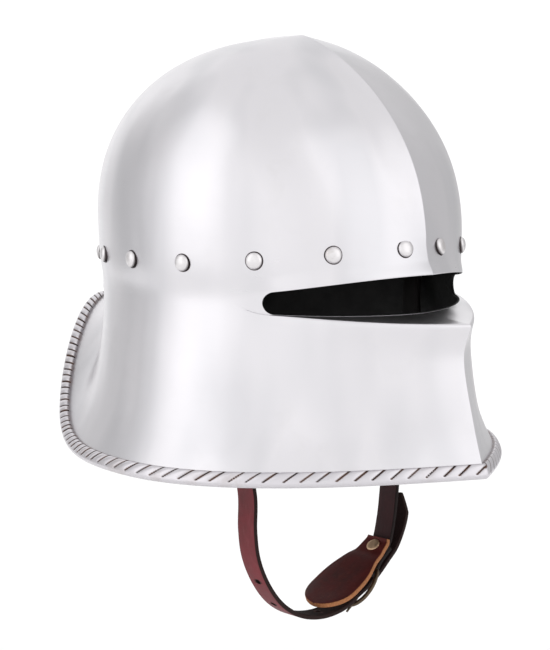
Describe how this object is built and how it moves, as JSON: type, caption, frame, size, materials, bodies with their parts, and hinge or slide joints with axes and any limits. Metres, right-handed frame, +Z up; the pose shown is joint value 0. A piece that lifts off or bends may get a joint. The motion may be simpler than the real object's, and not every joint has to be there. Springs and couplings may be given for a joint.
{
  "type": "sallet helmet",
  "caption": "Steel sallet with a rounded skull, long sight slit over a ledge, domed brow rivets, roped rim, short pointed tail and a buckled leather chin strap with a pad.",
  "frame": {"origin": "the highest point inside the skull of the shell, where the helmet sits on the wearer's head", "axes": "+Z up, -Y towards where the wearer looks, +X towards the wearer's left; the row stands as it is worn"},
  "size_m": [0.2624, 0.3531, 0.3669],
  "materials": {
    "polished_steel": "hand-polished plate with fine scratches",
    "rivet_steel": "worn domed heads",
    "strap_leather": "waxed red-brown grain with darker edges",
    "pad_leather": "waxed dark red-brown face with raw tan edge",
    "rivet_brass": "dull aged brass",
    "dark_brass": "antiqued dark brass"
  },
  "bodies": {
    "root": {"helmet_shell": "polished_steel", "brow_rivet_right_1": "rivet_steel", "brow_rivet_right_2": "rivet_steel", "brow_rivet_right_3": "rivet_steel", "brow_rivet_right_4": "rivet_steel", "brow_rivet_right_5": "rivet_steel", "brow_rivet_right_6": "rivet_steel", "brow_rivet_right_7": "rivet_steel", "brow_rivet_right_8": "rivet_steel", "brow_rivet_left_1": "rivet_steel", "brow_rivet_left_2": "rivet_steel", "brow_rivet_left_3": "rivet_steel", "brow_rivet_left_4": "rivet_steel", "brow_rivet_left_5": "rivet_steel", "brow_rivet_left_6": "rivet_steel", "brow_rivet_left_7": "rivet_steel", "brow_rivet_left_8": "rivet_steel", "long_strap": "strap_leather", "buckle_strap": "strap_leather", "chin_pad": "pad_leather", "pad_rivet": "rivet_brass", "buckle_frame": "dark_brass", "buckle_tongue": "dark_brass"}
  },
  "joints": []
}
